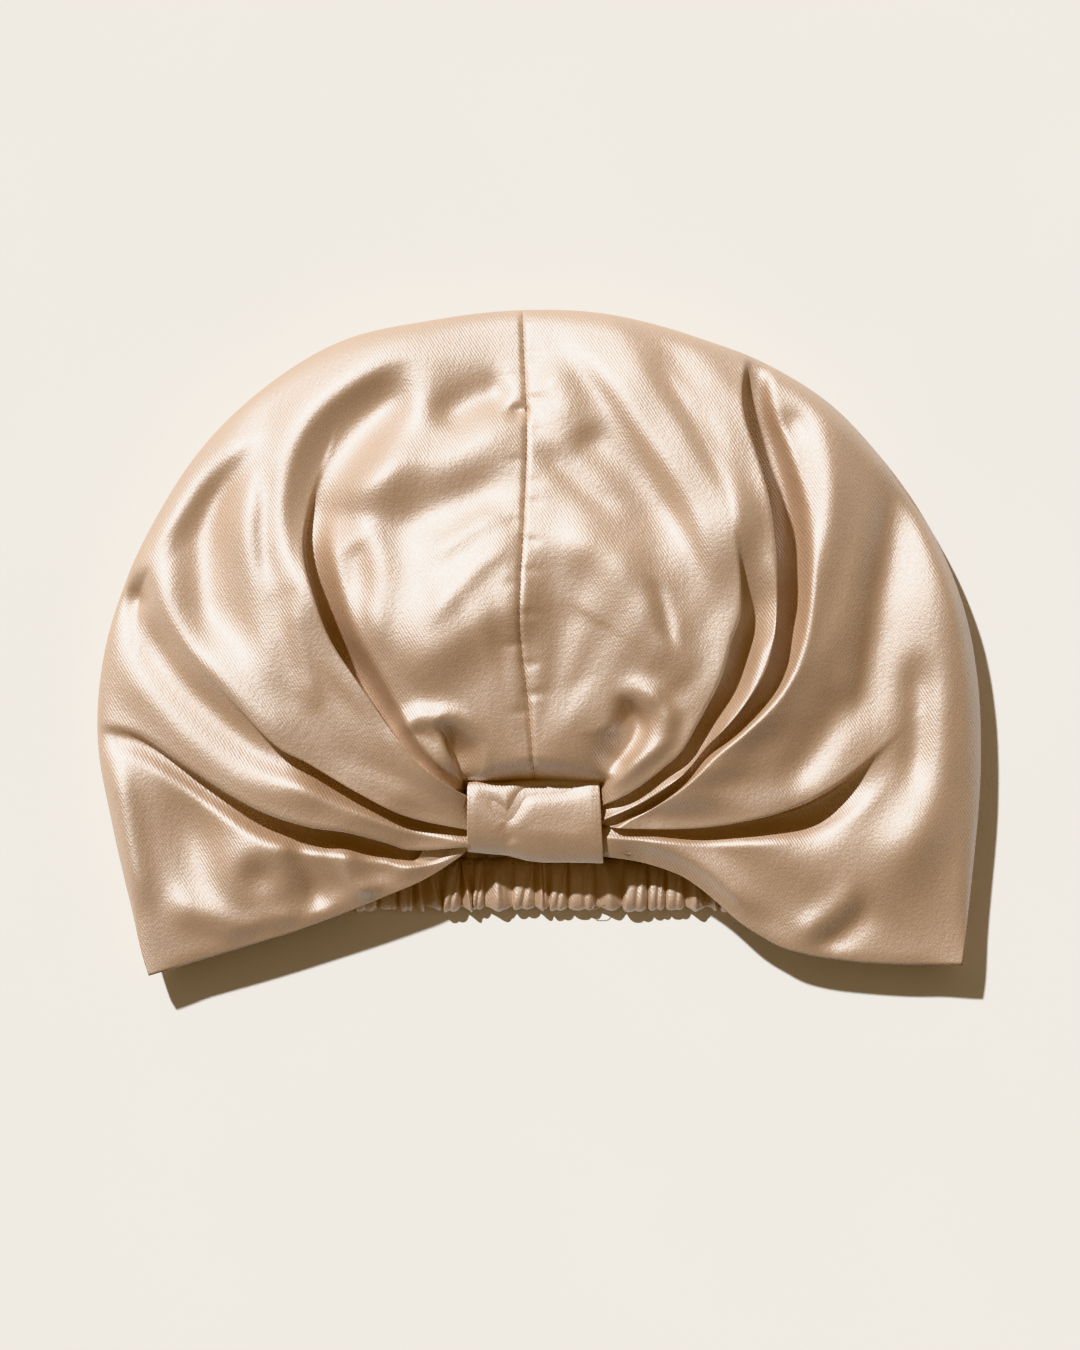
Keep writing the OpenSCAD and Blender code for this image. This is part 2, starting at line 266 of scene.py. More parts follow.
class Line:
    """A smooth line in plan, from which points are measured: how far off it they are (positive on its left,
    going from its first point to its last), how far along it as a share, and the unit step to its left."""

    def __init__(self, points, count=48):
        self.points = spline(points, count)
        self.steps = np.diff(self.points, axis=0)
        self.lengths = np.linalg.norm(self.steps, axis=1)
        self.at = np.concatenate([[0], np.cumsum(self.lengths)])

    def measure(self, xy):
        off = xy[:, None, :] - self.points[None, :-1]
        t = np.clip((off * self.steps).sum(2) / self.lengths**2, 0, 1)
        off = off - t[..., None] * self.steps
        nearest = (off**2).sum(2).argmin(1)
        every = np.arange(len(xy))
        off, t = off[every, nearest], t[every, nearest]
        step = self.steps[nearest] / self.lengths[nearest, None]
        left = np.stack([-step[:, 1], step[:, 0]], 1)
        side = np.sign((off * left).sum(1))
        side[side == 0] = 1
        share = (self.at[nearest] + t * self.lengths[nearest]) / self.at[-1]
        return side * np.linalg.norm(off, axis=1), share, left

    def near(self, xy, reach):
        """Which points lie in the line's own box, widened by reach."""
        low, high = self.points.min(0) - reach, self.points.max(0) + reach
        return np.nonzero(((xy > low) & (xy < high)).all(1))[0]


RIPPLE_WAVES = 26


def ripple(xy, seed, shortest, longest):
    """Gentle unevenness, mostly from -1 to 1: many long waves in random directions."""
    rng = np.random.default_rng(seed)
    total = np.zeros(len(xy))
    for _ in range(RIPPLE_WAVES):
        angle, length = rng.uniform(0, pi), rng.uniform(shortest, longest)
        phase = rng.uniform(0, 2 * pi)
        total += np.sin((xy @ [cos(angle), sin(angle)]) * 2 * pi / length + phase)
    return total / sqrt(RIPPLE_WAVES)


# -------- the outline

# Distance from the knot to the outline at angles round it, from the left corner to the right one.
REACH = [(202, 155), (191, 154), (180, 158), (169, 166.4), (157, 173.4), (143, 180), (132, 186.4),
         (122, 190.6), (112, 193), (102, 190.8), (91.4, 190.8), (83, 191.2), (71, 190.6), (64, 191.4),
         (55, 191), (47, 188), (37, 184.2), (27, 179.4), (17.5, 173.8), (8, 168.6), (-2.5, 165.2),
         (-11.5, 165.4), (-18.7, 168.4)]
_reach = spline(REACH, 600)
LEFT_A, RIGHT_A = REACH[0][0], REACH[-1][0]
SEAM_A = 91.4


def reach(a):
    return np.interp(-np.asarray(a, float), -_reach[:, 0], _reach[:, 1])


def on_ray(a, r):
    """The point in plan at an angle round the knot and a distance from it."""
    return np.stack([r * np.cos(np.radians(a)), r * np.sin(np.radians(a))], -1)


def sideness(a):
    """0 at the centre seam, 1 at either corner."""
    far = np.where(a > SEAM_A, (a - SEAM_A) / (LEFT_A - SEAM_A), (SEAM_A - a) / (SEAM_A - RIGHT_A))
    return np.clip(far, 0, 1)


def seam_height(a):
    """Height of the side seam: low round the crown, lifted at the two corners."""
    return 9.2 + 6.3 * sideness(a) ** 6


def hole(a):
    """Distance from the knot to where the front goes into the loop."""
    c, s = np.abs(np.cos(np.radians(a))), np.sin(np.radians(a))
    half_y = LOOP_H / 2 - np.where(s > 0, 2.4, 4.0)
    half_x = LOOP_LEN / 2 - 1.5
    return 1 / np.maximum(c / half_x, np.abs(s) / half_y)


# -------- fold lines of the front

# Each runs outwards from the loop. The sectors of the front's mesh lie between them.
HEM_LEFT = [(-24, -11), (-40, -21.5), (-56, -28.5), (-84, -39.5), (-106, -46.5), (-143.7, -58)]
FOLD_L3 = [(-24, -9.5), (-45, -10.6), (-55, -7.6), (-70, -3.6), (-84, -1.6), (-100, 3.3), (-114, 10.4),
           (-128, 19.3), (-144, 30), (-154, 33.5), (-161, 34.5)]
FOLD_L2 = [(-24, -3.4), (-47, 2.2), (-65, 11.3), (-83, 22), (-96, 29), (-114, 47), (-130, 64.4), (-144, 82),
           (-156, 96)]
FOLD_L1 = [(-24, 8.5), (-38, 17), (-50.5, 29.5), (-65, 50), (-76, 67), (-82, 84), (-86, 103), (-82, 122),
           (-74, 146), (-68, 178)]
EAR_LEFT = [(-25, 11), (-28, 18), (-31, 25), (-33.5, 31), (-38, 36)]
SEAM = [(0.2, 14), (-2.4, 45), (-5, 67.3), (-5.2, 85), (-4.3, 104.5), (-2.8, 141.7), (-3.6, 165),
        (-4.6, 190.8)]
FOLD_R0 = [(24, 5.2), (36, 11.3), (48.8, 21.3), (54.8, 27.3), (62.8, 41.3), (68.8, 53.2), (72.5, 66),
           (76.5, 80), (74, 110), (62, 180)]
FOLD_R1 = [(24, -0.3), (40, 7.3), (53.8, 17.3), (63, 28), (74, 39.5), (83.5, 54), (87.3, 66), (89, 80),
           (88.8, 100), (86.8, 118), (82.5, 135), (78.2, 149), (77.3, 160), (80, 174)]
FOLD_R2 = [(24, -1.8), (36, -2.7), (60, -2.6), (80, 0.2), (94, 3.8), (106, 9), (122, 20), (150, 48),
           (160, 72)]
HEM_RIGHT = [(24, -13), (39.8, -15.6), (52.8, -19.8), (60, -24), (67, -29.6), (76, -37.6), (85, -43.5),
             (94, -48), (110, -51.5), (130, -53.5), (159.6, -54)]


def angle_of(line, shares):
    """The angle round the knot at which a line lies, at shares of the way from the hole to the outline."""
    points = spline(line, 300)
    a = np.degrees(np.arctan2(points[:, 1], points[:, 0])) % 360
    a = np.where(a > 270, a - 360, a)
    r = np.hypot(points[:, 0], points[:, 1])
    t = (r - hole(a)) / (reach(a) - hole(a))
    order = np.argsort(t)
    return np.interp(shares, t[order], a[order])


CROWDING = 0.55   # how much closer together the mesh's columns lie beside the fold lines


def front_columns(lines, counts, rows):
    """Angles of a panel's mesh, rows by columns: the columns follow the lines and crowd beside them."""
    shares = np.linspace(0, 1, rows)
    angles = [angle_of(line, shares) for line in lines]
    columns = []
    for k, count in enumerate(counts):
        last = k == len(counts) - 1
        for f in np.linspace(0, 1, count, endpoint=last):
            g = f - CROWDING * sin(2 * pi * f) / (2 * pi)
            columns.append(angles[k] * (1 - g) + angles[k + 1] * g)
    return np.stack(columns, 1)


# -------- shape of the front

HEM_ROUND = 5     # width over which the front turns down at its free edge
HEM_REACH = 34    # width over which it levels out towards the free edge
HEM_CALM = 7      # width over which its folds fade at the free edge
ROLL = 7          # width of the tight roll at the side seam
PEAK = 0.34       # where the dome is highest, as a share of the way from the loop to the outline
FOOT = 7          # width of the steep foot beside the loop, and 4 more above it
# The tight roll's share of the climb from the side seam, at angles round the knot.
PLUMP_A, PLUMP = (-19, 10, 60, 95, 160, 185, 202), (0.34, 0.28, 0.2, 0.13, 0.13, 0.28, 0.4)


def front_base(a, t):
    """Height of the front without its folds, at an angle and a share of the way to the outline. It rolls up
    tightly at the side seam, climbs evenly to the top of the dome and falls steeply to the loop."""
    far = sideness(a)
    span = reach(a) - hole(a)
    seam = seam_height(a)
    peak = 23 + 20 * (1 - far**1.7)
    out = np.clip((1 - t) / (1 - PEAK), 0, 1)
    edge = np.clip((1 - t) * span / ROLL, 0, 1)
    plump = np.interp(a, PLUMP_A, PLUMP)
    climb = plump * np.sqrt(1 - (1 - edge) ** 2) + (1 - plump) * (1 - (1 - out) ** 1.55)
    outer = seam + (peak - seam) * climb
    rise = 24 + 22 * (1 - far) ** 2
    above = np.clip(np.sin(np.radians(a)), 0, 1) ** 2
    foot = np.clip(1 - t * span / (FOOT + 4 * above), 0, 1) ** 2
    wall = 0.22 + 0.5 * above
    fall = (1 - wall) * (1 - np.clip(t * span / rise, 0, 1)) ** 2.1 + wall * foot
    start = KNOT_Z - 1 + 4.6 * np.abs(np.cos(np.radians(a))) ** 3
    return outer - (outer - start) * fall


# Soft ridges and valleys: (height, width on the left of the line, width on its right, points, and a power
# above 2 where the top is flat).
RIDGES = [
    # left wing: the long crest beside its deep fold, and the dark valley on its inner side
    (6.5, 8, 13, [(-8, 176), (-37, 174), (-50, 173), (-62, 167), (-75, 158), (-84, 149), (-90, 138),
                  (-93.5, 123), (-94, 111), (-91, 97), (-86, 84), (-82, 67), (-78, 50), (-72, 36)]),
    (-5.0, 13, 11, [(-32, 163), (-46, 158), (-57, 151), (-67, 143), (-76, 131), (-80, 118), (-80, 104),
                    (-78, 90)]),
    # left wing's face: two outer streaks with a soft valley between them
    (4.2, 6, 8, [(-98, 150), (-108, 142), (-121, 129), (-133, 113), (-145, 97)]),
    (-3.8, 8, 8, [(-108, 138), (-118, 124), (-123, 106), (-124, 88), (-121, 72), (-114, 58)]),
    (4.0, 8, 8, [(-101, 142), (-105, 128), (-107, 112), (-106, 96), (-102, 78), (-96, 58), (-88, 42)]),
    (-2.2, 4, 4, [(-99, 136), (-100, 118), (-100, 102), (-96, 84)]),
    (2.0, 4, 5, [(-90, 86), (-87, 68), (-83, 52), (-78, 40)]),
    # the crest along the left wing's lower edge, the valley below it and the crest of the narrow panel
    (7.5, 14, 9, [(-159, 79), (-153, 89), (-147, 94), (-141, 94), (-137, 83), (-132, 72), (-125, 61),
                  (-114, 51), (-104, 40), (-92, 27), (-72, 15)]),
    (-3.5, 9, 10, [(-154, 86), (-146, 79), (-138, 65), (-126, 50), (-112, 36), (-98, 24), (-82, 14)]),
    (4.2, 8, 8, [(-157, 84), (-154, 70), (-149, 56), (-139, 43), (-124, 29), (-106, 17), (-86, 9),
                 (-56, 0)]),
    # lower left lobe
    (3.6, 6, 6, [(-159, 28), (-154, 14), (-151, -4), (-147, -24), (-142, -36)]),
    (3.6, 5, 4, [(-73, -5), (-70, -14), (-67, -21), (-61, -28), (-54, -33)]),
    (3.2, 5, 6, [(-139, -29), (-126, -33), (-113, -38), (-104, -44)]),
    (1.6, 4, 4, [(-110, -44), (-104, -38), (-96, -36), (-86, -38)]),
    (-3.5, 5, 5, [(-92, -6), (-86, -16), (-82, -26), (-80, -36)]),
    # left of the centre seam
    (4.5, 10, 8, [(-34, 173), (-38, 164), (-44, 152), (-54, 136), (-66, 122), (-75, 111)]),
    (-4.0, 7, 8, [(-6, 160), (-19, 158), (-30, 153), (-38, 146)]),
    (3.8, 11, 9, [(2, 154), (-14, 143), (-30, 134), (-46, 131), (-60, 122), (-72, 112)]),
    (-2.0, 8, 8, [(-4, 128), (-24, 120), (-44, 111), (-62, 104)]),
    (6.0, 13, 27, [(10, 79), (-6, 80), (-18, 78), (-30, 69), (-44, 60), (-54, 49)]),
    (1.6, 4, 6, [(-4, 104), (-16, 98), (-30, 84), (-42, 70)]),
    (1.2, 4, 4, [(-10, 116), (-26, 106), (-40, 96)]),
    # the bulge beside the deep fold
    (2.4, 6, 5, [(-77, 92), (-72, 101), (-64, 105.5), (-58.5, 101), (-57, 88), (-58, 74), (-56, 58)]),
    (3.6, 4.5, 5, [(-25, 9), (-34, 16), (-43, 25), (-48, 33), (-42, 38), (-30, 37), (-18, 31)]),
    # right of the centre seam
    (2.6, 8, 8, [(0, 170), (8, 162), (14, 150), (22, 138)]),
    (-3.4, 8, 9, [(9, 154), (16, 146), (26, 137), (38, 125), (46, 112), (50, 98)]),
    (5.5, 14, 10, [(14, 192), (22, 180), (34, 165), (46, 147), (58, 128), (66, 112), (72, 94),
                   (74, 78)], 4),
    (-1.3, 3, 3.5, [(41, 177), (50, 162), (58, 148), (66, 132), (72, 118)]),
    (2.6, 10, 9, [(48, 174), (60, 165), (71, 154), (78, 140), (82, 122), (84, 104)], 4),
    (-2.2, 5, 5, [(-1, 140), (10, 131), (22, 120), (34, 112)]),
    (4.5, 10, 11, [(-6, 100), (8, 103), (22, 101), (33, 92), (40, 80), (46, 68), (53, 56), (59, 44)]),
    (-2.6, 2.2, 2.2, [(43, 92), (46, 84), (49, 72), (51.5, 62)]),
    (-2.2, 14, 15, [(16, 86), (11, 80), (8, 66), (10, 50), (18, 38)]),
    (3.6, 5, 4, [(24, 12), (34, 19), (44, 27), (49, 36), (46, 44), (39, 49), (29, 48)]),
    (-7.0, 9, 2.8, [(23, 15), (29, 20), (35, 27), (38.5, 35), (35, 42), (28, 45)]),
    # right wing: the bright crest beside its deep fold
    (6.0, 9, 7, [(90, 172), (100, 156), (107, 146), (110, 131), (109, 110), (104, 91), (97, 68), (87, 49),
                 (70, 28), (52, 12), (32, 2)]),
    (2.0, 6, 6, [(126, 128), (122, 102), (115, 80), (106, 58), (96, 40)]),
    (-3.5, 7, 8, [(118, 54), (110, 36), (100, 22), (88, 12)]),
    (-5.5, 10, 6, [(130, 140), (134, 122), (131, 97), (126, 67), (122, 44), (116, 26)]),
    (4.2, 11, 11, [(146, 118), (151, 98), (153, 78), (154, 56), (153, 28), (149, 6), (139, -8), (122, -15),
                   (104, -19)]),
    (-3.0, 6, 6, [(142, 66), (143, 46), (142, 24), (138, 8)]),
    # lower right lobe and the rolled edge beside the loop
    (3.6, 6, 5, [(24, -4), (34, -5), (45, -8), (55, -12), (66, -19), (76, -28), (90, -38)]),
    (-2.6, 6, 6, [(104, -50), (112, -44), (120, -37), (128, -28)]),
    (2.6, 5, 6, [(94, -44), (104, -39), (114, -32), (122, -24)]),
]
# Round dents and bumps: (height, x, y, long radius, short radius, direction of the long radius).
DENTS = [
    # left wing
    (-4.0, -148, 83, 7, 5, 60), (-1.5, -66.5, 89, 10, 6, 100),
    # lower left lobe, with its ring
    (-6.0, -127, -8, 20, 11, 110), (5.5, -103, -19, 15, 12, 20), (-6.0, -102, -20, 8, 7, 20),
    # beside the loop, at the crown and beside the right wing's deep fold
    (2.5, -47, -17, 8, 5, 160), (-2.0, 97, 148, 5, 4, 60), (-2.0, -6, 152, 4, 3, 20),
    (-3.5, 79, 66, 15, 4.5, 72),
    # lower right lobe
    (-4.6, 104, -1, 12, 7, 12), (3.0, 138, -12, 16, 12, 70),
    # left wing's narrow panel and the top of the crown
    (2.0, -84, 14, 9, 5, 150), (2.0, -47, 164, 9, 6, 20),
]
# Deep folds: the line, the side that its hollow lies on (1 is the line's left), and at even shares from the
# loop outwards the hollow's depth and width, how far the lip hangs over it, the lip's rise, then the lip's
# width and the power of the hollow's section, where 1 is a V and 6 nearly a U.
FOLDS = [
    (FOLD_L1, -1, [4, 9, 16, 20, 16, 6, 0, 0, 0], [3, 4.5, 7, 9, 10, 10, 9, 9, 9],
     [1, 1.5, 2, 2, 1.6, 0.6, 0, 0, 0], [1, 1.2, 1.5, 1.5, 1.5, 0.8, 0, 0, 0], 6, 1.4),
    (FOLD_L2, 1, [4, 8, 11, 9, 4, 1, 0, 0, 0], [3, 4, 6, 9, 11, 12, 12, 10, 8],
     [1, 1.5, 1.8, 1.8, 1, 0, 0, 0, 0], [0.5, 0.8, 1, 1.2, 1.5, 1.5, 1.2, 0.5, 0], 6, 1.3),
    (FOLD_L3, 1, [4, 7, 11, 14, 13, 9, 7, 5, 1], [3, 5, 7, 8.5, 8.5, 7, 6, 7, 8],
     [1, 1.5, 1.8, 1.8, 1.6, 1.2, 1, 0.6, 0], [0.5, 0.8, 1, 1.2, 1.5, 1.5, 1.5, 1, 0], 6, 1.6),
    (EAR_LEFT, -1, [2, 5, 7.5, 5, 0], [5, 9, 12, 10, 7], [0.4, 1, 1, 0.5, 0], [0.5, 1, 1.5, 1, 0], 5, 1.5),
    (FOLD_R0, -1, [3, 5, 9, 12, 6, 0, 0, 0, 0], [2.5, 3.5, 6.5, 10, 11, 8, 5, 5, 5],
     [1, 1.5, 1.5, 1.2, 0.8, 0, 0, 0, 0], [0.5, 1, 1.2, 1.2, 0.8, 0.2, 0, 0, 0], 7, 2.4),
    (FOLD_R1, -1, [3, 6, 8, 10, 13, 16, 17, 17, 15, 10, 0], [2.5, 3, 3.5, 5.5, 9, 11, 12, 12, 11, 10, 8],
     [1, 1.5, 1.8, 1.8, 2, 2, 1.8, 1.5, 1.2, 1, 0], [0.5, 1, 1, 2, 3.5, 4.5, 5, 4.5, 3, 1.5, 0], 24, 4),
    (FOLD_R2, -1, [3, 5, 8, 11, 10, 2, 0, 0, 0], [2.5, 3.5, 5.5, 8, 11, 10, 10, 10, 10],
     [1, 1.2, 1, 0.8, 0.4, 0, 0, 0, 0], [0.5, 0.8, 1, 1.2, 1, 0.4, 0, 0, 0], 7, 1.5),
]
STREAK = 0.3      # height of the fine streaks that run out from the loop
LIP = 1.1         # half the width over which a fold's edge drops
SEAM_PITCH = 3.5
# Dimples beside the centre seam: (distance from the loop along it, side of the line, depth).
SEAM_DIMPLES = [(27, 1, 0.5), (33, -1, 0.7), (44, -1, 0.5), (52, 1, 0.6), (63, -1, 0.6), (74, 1, 0.5),
                (79, -1, 0.6), (90, -1, 0.7), (97, 1, 0.6), (104, -1, 0.7), (112, -1, 0.5), (120, 1, 0.5),
                (131, -1, 0.5), (139, 1, 1.0), (143, -1, 0.7), (152, 1, 0.4), (160, -1, 0.5)]


def ridge(xy, z, height, left_w, right_w, points, power=2, fade=0.28):
    line = Line(points)
    near = line.near(xy, 2.6 * max(left_w, right_w))
    off, share, _ = line.measure(xy[near])
    width = np.where(off > 0, left_w, right_w)
    ends = smooth(share / fade) * smooth((1 - share) / fade)
    z[near] += height * ends * np.exp(-((off / width) ** power))


def dent(xy, z, height, x, y, long_r, short_r, turn):
    c, s = cos(radians(turn)), sin(radians(turn))
    off = xy - (x, y)
    u, v = off @ [c, s], off @ [-s, c]
    z += height * np.exp(-((u / long_r) ** 2) - (v / short_r) ** 2)


def fold(xy, z, shift, points, side, depth, hollow, overhang, rise, lip_w, square):
    """Drops the hollow beside a fold line, and rolls the lip out over it."""
    line = Line(points, 72)
    near = line.near(xy, 36)
    off, share, left = line.measure(xy[near])
    off = off * side
    far = (off - LIP) / even_values(hollow, share)
    drop = smooth((off + LIP) / (2 * LIP)) * (1 - np.clip(far, 0, 1) ** square)
    z[near] -= even_values(depth, share) * drop
    lip = np.exp(-((np.minimum(off + LIP, 0) / lip_w) ** 2)) * (1 - smooth((off + LIP) / (2 * LIP)))
    z[near] += even_values(rise, share) * lip
    roll = off / (LIP * 1.1)
    over = -roll * np.exp(0.5 * (1 - roll**2)) * even_values(overhang, share)
    shift[near] += left * (side * over)[:, None]


def seam_pucker(xy, z):
    """Draws the cloth down to the centre seam: a narrow furrow, and dimples where stitches pull."""
    line = Line(SEAM, 80)
    signed, share, _ = line.measure(xy)
    along = share * line.at[-1]
    off = np.abs(signed)
    z -= 1.0 * np.exp(-((off / 0.9) ** 2)) + 0.3 * np.exp(-((off / 5) ** 2))
    for spot, side, deep in SEAM_DIMPLES:
        z -= deep * np.exp(-(((signed - side * 3.0) / 3.6) ** 2) - ((along - spot) / 1.7) ** 2)
    pull = np.sin(2 * pi * along / SEAM_PITCH + 1.7 * np.sin(along / 9.0))
    z += 0.10 * pull * np.sin(along / 13.0 + 1) ** 2 * np.exp(-((off / 2.2) ** 2))


def level_hems(xy, z):
    """Levels z out towards the front's free edges. Gives the share of the folds' relief that stays at each
    point, and how far the point turns down at an edge."""
    calm, hem_drop = np.ones(len(xy)), np.zeros(len(xy))
    for hem, tuck in ((HEM_LEFT, 0.4), (HEM_RIGHT, 0.6)):
        off, share, _ = Line(hem, 60).measure(xy)
        close = smooth(1 - np.abs(off) / HEM_REACH)
        z += (KNOT_Z - 1.5 - 3.5 * share - z) * close * smooth(share / 0.12)
        calm *= smooth(np.abs(off) / HEM_CALM)
        turn = 1.2 + tuck * np.exp(-((share / 0.3) ** 2))
        hem_drop += turn * smooth((1 - share) / 0.12) * np.clip(1 - np.abs(off) / HEM_ROUND, 0, 1) ** 2
    return calm, hem_drop


SMOOTHING = 3     # passes that even out the front's mesh


def front_surface(angles):
    """The front's outer surface over a mesh of angles: points in millimetres, rows by columns."""
    rows, columns = angles.shape
    a, t = angles.reshape(-1), np.repeat(np.linspace(0, 1, rows), columns)
    span = reach(a) - hole(a)
    r = hole(a) + t * span
    xy, z = on_ray(a, r), front_base(a, t)
    calm, hem_drop = level_hems(xy, z)
    relief, shift = np.zeros(len(xy)), np.zeros_like(xy)
    for settings in RIDGES:
        ridge(xy, relief, *settings)
    for settings in DENTS:
        dent(xy, relief, *settings)
    for settings in FOLDS:
        fold(xy, relief, shift, *settings)
    z += relief * calm - hem_drop
    edge = (1 - t) * span
    z += 0.2 * ripple(xy, 3, 24, 60) * smooth(edge / 20)
    fan = np.stack([1.3 * a, 0.22 * r], 1)
    z += STREAK * ripple(fan, 8, 8, 22) * smooth(edge / 30) * smooth((t - 0.04) / 0.2)
    seam_pucker(xy, z)
    points = np.concatenate([xy + shift, z[:, None]], 1).reshape(rows, columns, 3)
    for _ in range(SMOOTHING):
        middle = points[1:-1, 1:-1]
        around = (points[:-2, 1:-1] + points[2:, 1:-1] + points[1:-1, :-2] + points[1:-1, 2:]) / 4
        points[1:-1, 1:-1] = middle * 0.5 + around * 0.5
    return points


# -------- meshes


def to_frame(points):
    return np.asarray(points, float).reshape(-1, 3) * MM + (KNOT.x, KNOT.y, 0)


def grid_faces(rows, columns, closed_rows=False, closed_columns=False):
    faces = []
    for i in range(rows if closed_rows else rows - 1):
        for j in range(columns if closed_columns else columns - 1):
            k, m = (i + 1) % rows, (j + 1) % columns
            faces.append((i * columns + j, i * columns + m, k * columns + m, k * columns + j))
    return faces


def tube_faces(rows, columns):
    """Faces over closed sections, rows by columns of points, and round a tip beyond each end."""
    faces = grid_faces(rows, columns, closed_columns=True)
    tip, end = rows * columns, (rows - 1) * columns
    for j in range(columns):
        k = (j + 1) % columns
        faces += [(tip, k, j), (tip + 1, end + j, end + k)]
    return faces


def band_faces(rows, columns):
    """Faces over closed flat sections, rows by columns of points, with both ends filled in."""
    faces = grid_faces(rows, columns, closed_columns=True)
    for start in (0, (rows - 1) * columns):
        for j in range(columns // 2 - 1):
            face = (start + j, start + j + 1, start + columns - 2 - j, start + columns - 1 - j)
            faces.append(face if start else face[::-1])
    return faces


def make_piece(name, points, faces, material, body, slot, nodes=()):
    """A mesh piece from points in millimetres. It rides on a body, if one is given."""
    mesh = bpy.data.meshes.new(name)
    mesh.from_pydata([tuple(p) for p in to_frame(points)], [], faces)
    mesh.materials.append(material)
    mesh.polygons.foreach_set("use_smooth", [True] * len(mesh.polygons))
    mesh.update()
    piece = bpy.data.objects.new(name, mesh)
    bpy.context.scene.collection.objects.link(piece)
    if body:
        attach(piece, body)
    if nodes:
        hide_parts(*nodes)
    return piece


def sheet_piece(name, grid, material, body, slot, nodes, flip=False):
    rows, columns = grid.shape[:2]
    faces = grid_faces(rows, columns)
    if flip:
        faces = [face[::-1] for face in faces]
    return make_piece(name, grid, faces, material, body, slot, nodes)


def turned_edge(line, away, steps):
    """Extra rows of points beyond an edge, stepped by (distance along away, height)."""
    return np.stack([line + away * out + (0, 0, up) for out, up in steps])


def unit_xy(v):
    v = v * (1, 1, 0)
    return v / np.maximum(np.linalg.norm(v, axis=-1, keepdims=True), 1e-9)


ROWS = 224
# Each half of the front: the lines that its mesh follows, and the numbers of columns between them.
PANELS = {
    "left": ([HEM_LEFT, FOLD_L3, FOLD_L2, FOLD_L1, SEAM], [36, 24, 68, 62]),
    "right": ([SEAM, FOLD_R0, FOLD_R1, FOLD_R2, HEM_RIGHT], [66, 24, 60, 40]),
}
# The cloth turned in beyond the rim, the centre seam and the free edge: rows of (distance, height).
RIM_STEPS = [(0.25, -0.9), (1.0, -1.7), (2.4, -2.3), (4.5, -2.6)]
SEAM_STEPS = [(0.1, -0.7), (0.3, -1.6), (0.9, -2.6)]
HEM_STEPS = [(0.15, -0.5), (0.8, -1.0), (2.5, -1.3), (7, -1.2), (12, -1.0)]
HEM_TAPER = 30    # rows over which the turned hem narrows to nothing at the corner


def make_front(side):
    """One half of the front's outer satin. Gives the piece, and its surface without the turned edges."""
    lines, counts = PANELS[side]
    surface = front_surface(front_columns(lines, counts, ROWS))
    sign, seam_column, hem_column, inner_column = (-1, -1, 0, 3) if side == "left" else (1, 0, -1, -4)
    inward = unit_xy(surface[-3] - surface[-1])
    points = np.concatenate([surface, turned_edge(surface[-1], inward, RIM_STEPS)], 0)
    down = turned_edge(points[:, seam_column], np.array([sign, 0, 0]), SEAM_STEPS)
    hem_line = points[:, hem_column]
    inside = unit_xy(points[:, inner_column] - hem_line)
    taper = np.clip((ROWS - 4 - np.arange(len(hem_line))) / HEM_TAPER, 0, 1)[:, None]
    hem = turned_edge(hem_line, inside * taper, HEM_STEPS)
    down, hem = down.transpose(1, 0, 2), hem.transpose(1, 0, 2)
    first, last = (hem, down) if side == "left" else (down, hem)
    points = np.concatenate([first[:, ::-1], points, last], 1)
    piece = sheet_piece(f"front_satin_{side}", points, OUTER, None, "outer_satin", [f"front_panel_{side}"])
    return piece, surface


def lower_envelope(z, steps):
    """The height that stays below every fold within some steps of the mesh, made smooth again."""
    for _ in range(steps):
        p = np.pad(z, 1, mode="edge")
        z = np.minimum.reduce([z, p[:-2, 1:-1], p[2:, 1:-1], p[1:-1, :-2], p[1:-1, 2:]])
    for _ in range(2 * steps):
        p = np.pad(z, 1, mode="edge")
        z = z * 0.4 + (p[:-2, 1:-1] + p[2:, 1:-1] + p[1:-1, :-2] + p[1:-1, 2:]) * 0.15
    return z


LINING_GAP = 2.0      # from the outer satin's hollows down to the lining
LINING_HEM = 4        # columns of the mesh by which the lining stays inside the free edge
LINING_INSET = 2.4    # how far the lining's edge lies inside the side seam
LINING_LOW = 6.4      # the lining stays above the back and the casing


def make_front_lining(side, surface):
    """The lining hangs smoothly below the outer satin's folds."""
    inside = surface[:, LINING_HEM:] if side == "left" else surface[:, :-LINING_HEM]
    points = (inside[::2, ::2] if side == "right" else inside[::2, ::-2][:, ::-1]).copy()
    points[..., 2] = lower_envelope(points[..., 2], 7) - LINING_GAP
    r = np.linalg.norm(points[..., :2], axis=2, keepdims=True)
    points[..., :2] *= 1 - LINING_INSET * smooth((r - 60) / 80) / r
    points[..., 2] = np.maximum(points[..., 2], LINING_LOW)
    piece = sheet_piece(f"front_lining_satin_{side}", points, LINING, None, "lining_satin",
                        [f"front_lining_{side}"], flip=True)
    return piece, points


# -------- threads and stitches


